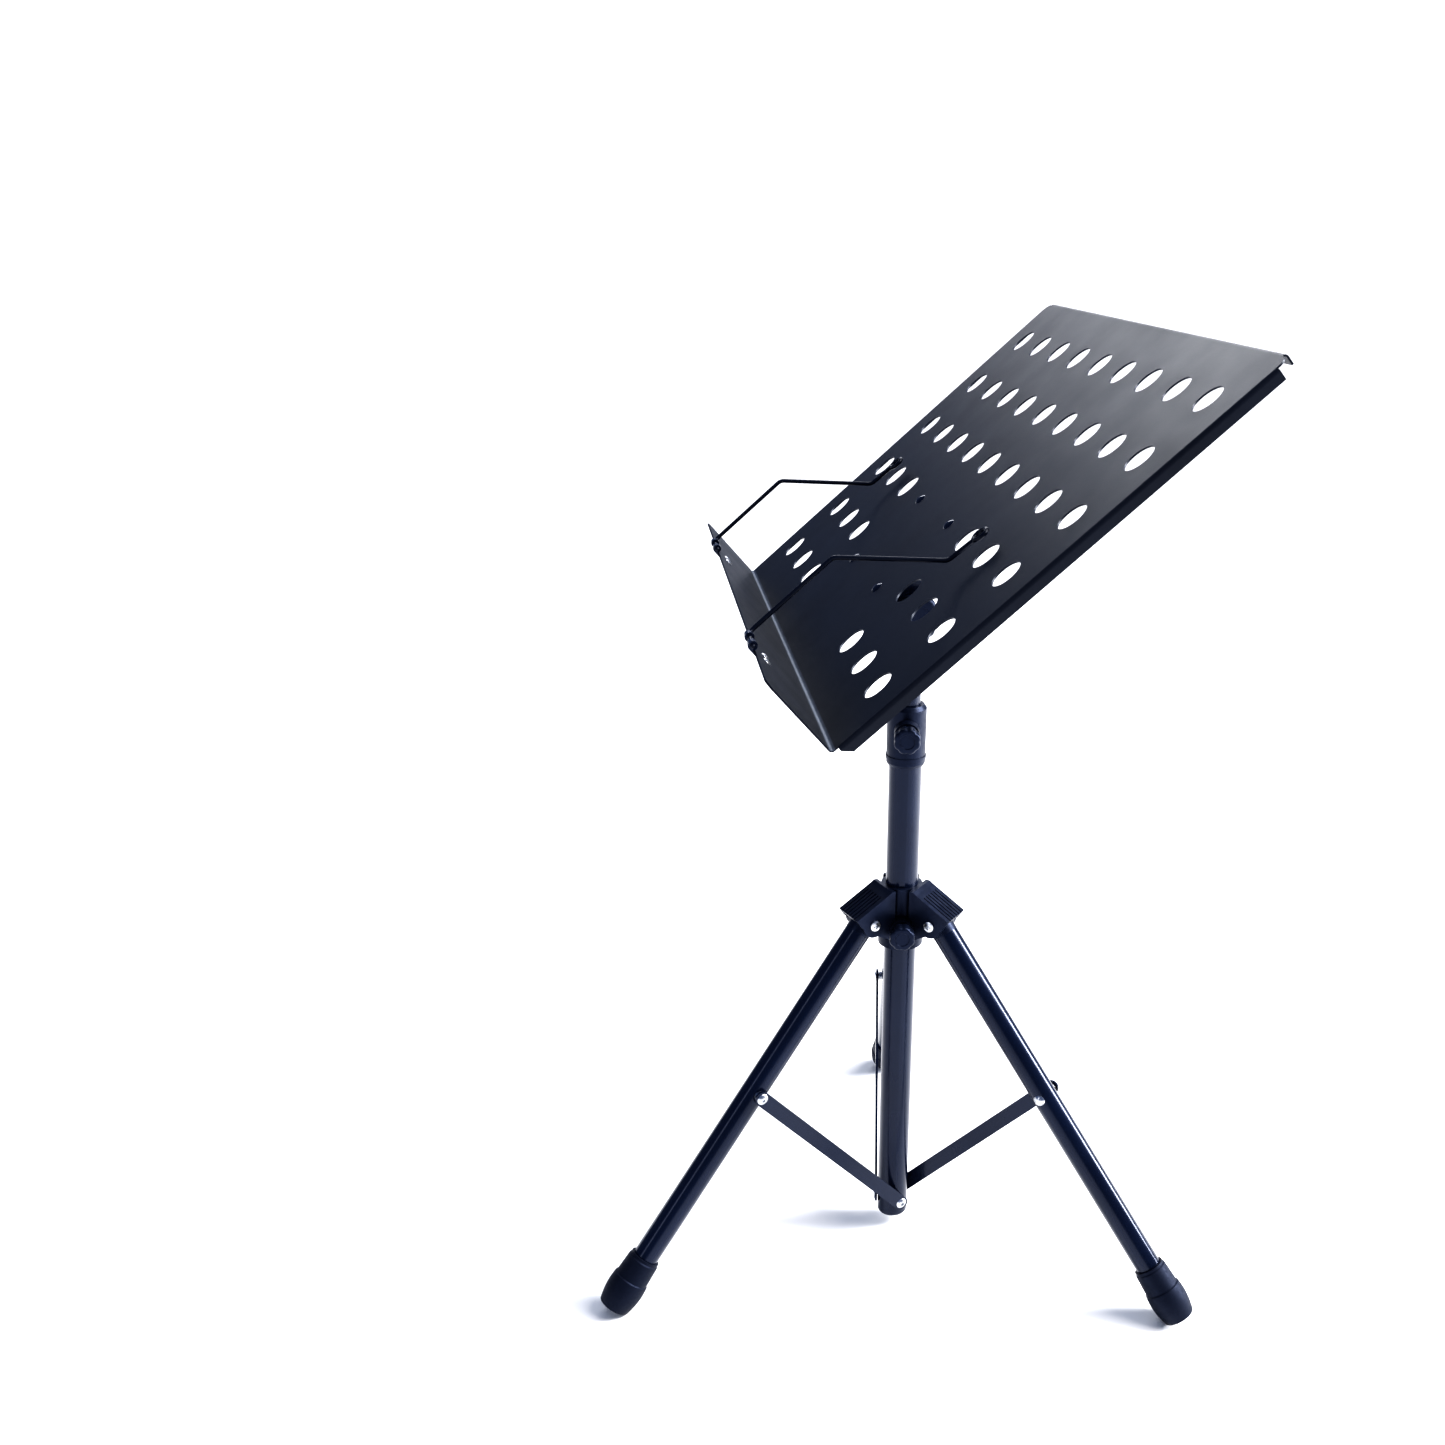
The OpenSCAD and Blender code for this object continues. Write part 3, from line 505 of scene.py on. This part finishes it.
class STAND_OT_desk(bpy.types.Operator):
    """Finishes the perforated desk, its shelf and its mounting plate"""
    bl_idname = "stand.desk"
    bl_label = "Desk"

    def execute(self, context):
        dress(["desk_panel", "mount_plate", "tilt_bracket", "plate_rivets", "lug_rivets"])
        return {"FINISHED"}


class STAND_OT_page_holders(bpy.types.Operator):
    """Bends the two page holders from round wire"""
    bl_idname = "stand.page_holders"
    bl_label = "Page holders"

    def execute(self, context):
        sizes = context.scene.stand_sizes
        dress(["lug_left", "lug_right"])
        for side in ("left", "right"):
            node = f"holder_{side}"
            to_desk = ON_DESK.inverted()
            cad = [to_desk @ v.co for v in NODES[node].data.vertices]
            pivot = to_desk @ joint_pos(f"holder_swing_{side}")
            arm_x = pivot.x
            radius = sizes.wire_radius
            pin_end = max(v.x for v in cad)
            far = max(v.y for v in cad)
            low = min(v.z for v in cad)
            eye = sizes.eye_radius
            tip = Vector((arm_x, far - 2 * eye - radius, low + radius))
            knee = Vector((arm_x, pivot.y + sizes.wire_rise, pivot.z))
            ankle = Vector((arm_x, tip.y - sizes.wire_end, tip.z + END_RISE))
            points = [Vector((pin_end, pivot.y, pivot.z)), pivot, knee, ankle, tip]
            route = rounded_route(points, sizes.wire_bend)
            eye_centre = tip + Vector((0, eye, 0))
            for k in range(1, EYE_STEPS + 1):
                a = math.radians(-90 + EYE_TURN * k / EYE_STEPS)
                route.append(eye_centre + Vector((eye * math.cos(a), eye * math.sin(a), 0)))
            rod = wire_rod(route, radius)
            piece = to_object(f"wire_{side}", rod, ON_DESK, "wire", node)
            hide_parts(node)
        return {"FINISHED"}


class STAND_OT_knobs(bpy.types.Operator):
    """Moulds the three scalloped hand knobs"""
    bl_idname = "stand.knobs"
    bl_label = "Hand knobs"

    def execute(self, context):
        for name, (flutes, bore) in KNOBS.items():
            axis = joint_axis(f"{name}_turn")
            origin = joint_pos(f"{name}_turn")
            reach = [(v.co - origin).dot(axis) for v in NODES[name].data.vertices]
            outs = [((v.co - origin) - axis * (v.co - origin).dot(axis)).length
                    for v in NODES[name].data.vertices]
            knob = hand_knob(max(outs), max(reach) - min(reach), flutes, bore * MM)
            place = along(origin + axis * min(reach), axis)
            piece = to_object(f"{name}_moulding", knob, place, "nylon", name)
            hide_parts(name)
        dress(["collar_insert", "hub_insert", "tilt_knob_insert", "collar_stud", "hub_stud"])
        return {"FINISHED"}


class STAND_OT_mast(bpy.types.Operator):
    """Finishes the tilt head, the telescopic tubes and the collar"""
    bl_idname = "stand.mast"
    bl_label = "Mast and post"

    def execute(self, context):
        dress(["tilt_head", "head_screw", "tilt_bolt", "tilt_washers", "inner_tube", "glide",
               "outer_tube", "tube_end_plug", "collar"])
        return {"FINISHED"}


class STAND_OT_hub(bpy.types.Operator):
    """Finishes the sliding hub and its pivots"""
    bl_idname = "stand.hub"
    bl_label = "Hub"

    def execute(self, context):
        dress(["hub", "pivot_barrels", "pivot_screws"])
        return {"FINISHED"}


class STAND_OT_legs(bpy.types.Operator):
    """Finishes the legs and their braces"""
    bl_idname = "stand.legs"
    bl_label = "Legs and braces"

    def execute(self, context):
        for i in (1, 2, 3):
            dress([f"leg_tube_{i}", f"leg_knuckle_{i}", f"leg_rivet_{i}", f"brace_{i}",
                   f"brace_rivet_{i}"])
        return {"FINISHED"}


class STAND_OT_feet(bpy.types.Operator):
    """Finishes the rubber feet"""
    bl_idname = "stand.feet"
    bl_label = "Rubber feet"

    def execute(self, context):
        dress([f"foot_{i}" for i in (1, 2, 3)])
        return {"FINISHED"}


class STAND_OT_stage(bpy.types.Operator):
    """Sets the camera, the paper backdrop and the soft studio light"""
    bl_idname = "stand.stage"
    bl_label = "Stage"

    def execute(self, context):
        look = context.scene.stand_look
        camera = bpy.data.cameras.new("camera")
        camera.lens = LENS_MM
        camera.sensor_width = SENSOR_MM
        camera.shift_x, camera.shift_y = CAMERA_SHIFT
        camera.clip_start = 0.01
        eye = bpy.data.objects.new("camera", camera)
        eye.location = CAMERA_PLACE
        eye.rotation_euler = [math.radians(a) for a in CAMERA_TURN]
        context.scene.collection.objects.link(eye)
        context.scene.camera = eye

        sheet = bmesh.new()
        bmesh.ops.create_grid(sheet, x_segments=1, y_segments=1, size=FLOOR_HALF)
        mesh = bpy.data.meshes.new("floor")
        sheet.to_mesh(mesh)
        sheet.free()
        mesh.materials.append(studio_paper("seamless_studio_paper", look.paper))
        floor = bpy.data.objects.new("floor", mesh)
        context.scene.collection.objects.link(floor)

        self.white_room(context)
        context.scene.view_settings.view_transform = "Standard"
        context.scene.view_settings.look = "High Contrast"
        middle = Vector(LAMPS_AIM)
        for name, (place, width, height, share) in SOFTBOXES.items():
            lamp = bpy.data.lights.new(name, "AREA")
            lamp.shape = "RECTANGLE"
            lamp.size = width
            lamp.size_y = height
            lamp.energy = look.lamp * share
            box = bpy.data.objects.new(name, lamp)
            box.location = place
            box.rotation_euler = (middle - Vector(place)).to_track_quat("-Z", "Y").to_euler()
            box.visible_camera = False
            context.scene.collection.objects.link(box)
        sun = bpy.data.lights.new("overhead_silk", "SUN")
        sun.angle = math.radians(SILK_ANGLE)
        sun.energy = look.silk
        sun.color = linear("#fffaf2")[:3]
        silk = bpy.data.objects.new("overhead_silk", sun)
        silk.rotation_euler = Vector(SILK_DIRECTION).to_track_quat("-Z", "Y").to_euler()
        context.scene.collection.objects.link(silk)
        return {"FINISHED"}

    def white_room(self, context):
        """A white room to the camera, and a dimmer, faintly blue one to the black coats."""
        world = bpy.data.worlds.new("studio")
        world.use_nodes = True
        tree = world.node_tree
        tree.nodes.clear()
        seen = add(tree, "ShaderNodeBackground", {"Color": linear("#ffffff"), "Strength": 1.2})
        fill = add(tree, "ShaderNodeBackground", {"Color": linear("#d3e0fc"), "Strength": 0.42})
        shine = add(tree, "ShaderNodeBackground", {"Color": linear("#9fb6ea"), "Strength": 0.3})
        path = add(tree, "ShaderNodeLightPath").outputs
        lit = add(tree, "ShaderNodeMixShader", {
            0: path["Is Glossy Ray"], 1: fill.outputs[0], 2: shine.outputs[0],
        })
        both = add(tree, "ShaderNodeMixShader", {
            0: path["Is Camera Ray"], 1: lit.outputs[0], 2: seen.outputs[0],
        })
        add(tree, "ShaderNodeOutputWorld", {"Surface": both.outputs[0]})
        context.scene.world = world


class STAND_PT_panel(bpy.types.Panel):
    """Lists the steps that finish the stand"""
    bl_label = "Music stand"
    bl_space_type = "VIEW_3D"
    bl_region_type = "UI"
    bl_category = "Music stand"

    def draw(self, context):
        column = self.layout.column(align=True)
        for operator in OPERATORS:
            column.operator(operator.bl_idname)
        for group in (context.scene.stand_sizes, context.scene.stand_look):
            for name in group.__annotations__:
                self.layout.prop(group, name)


OPERATORS = (STAND_OT_stage, STAND_OT_desk, STAND_OT_page_holders, STAND_OT_knobs, STAND_OT_mast,
             STAND_OT_hub, STAND_OT_legs, STAND_OT_feet)
CLASSES = (StandSizes, StandLook, *OPERATORS, STAND_PT_panel)


def register():
    for cls in CLASSES:
        bpy.utils.register_class(cls)
    bpy.types.Scene.stand_sizes = PointerProperty(type=StandSizes)
    bpy.types.Scene.stand_look = PointerProperty(type=StandLook)


def unregister():
    del bpy.types.Scene.stand_look
    del bpy.types.Scene.stand_sizes
    for cls in reversed(CLASSES):
        bpy.utils.unregister_class(cls)


def main():
    register()
    bpy.ops.stand.stage()
    bpy.ops.stand.desk()
    bpy.ops.stand.page_holders()
    bpy.ops.stand.knobs()
    bpy.ops.stand.mast()
    bpy.ops.stand.hub()
    bpy.ops.stand.legs()
    bpy.ops.stand.feet()


if __name__ == "__main__":
    main()
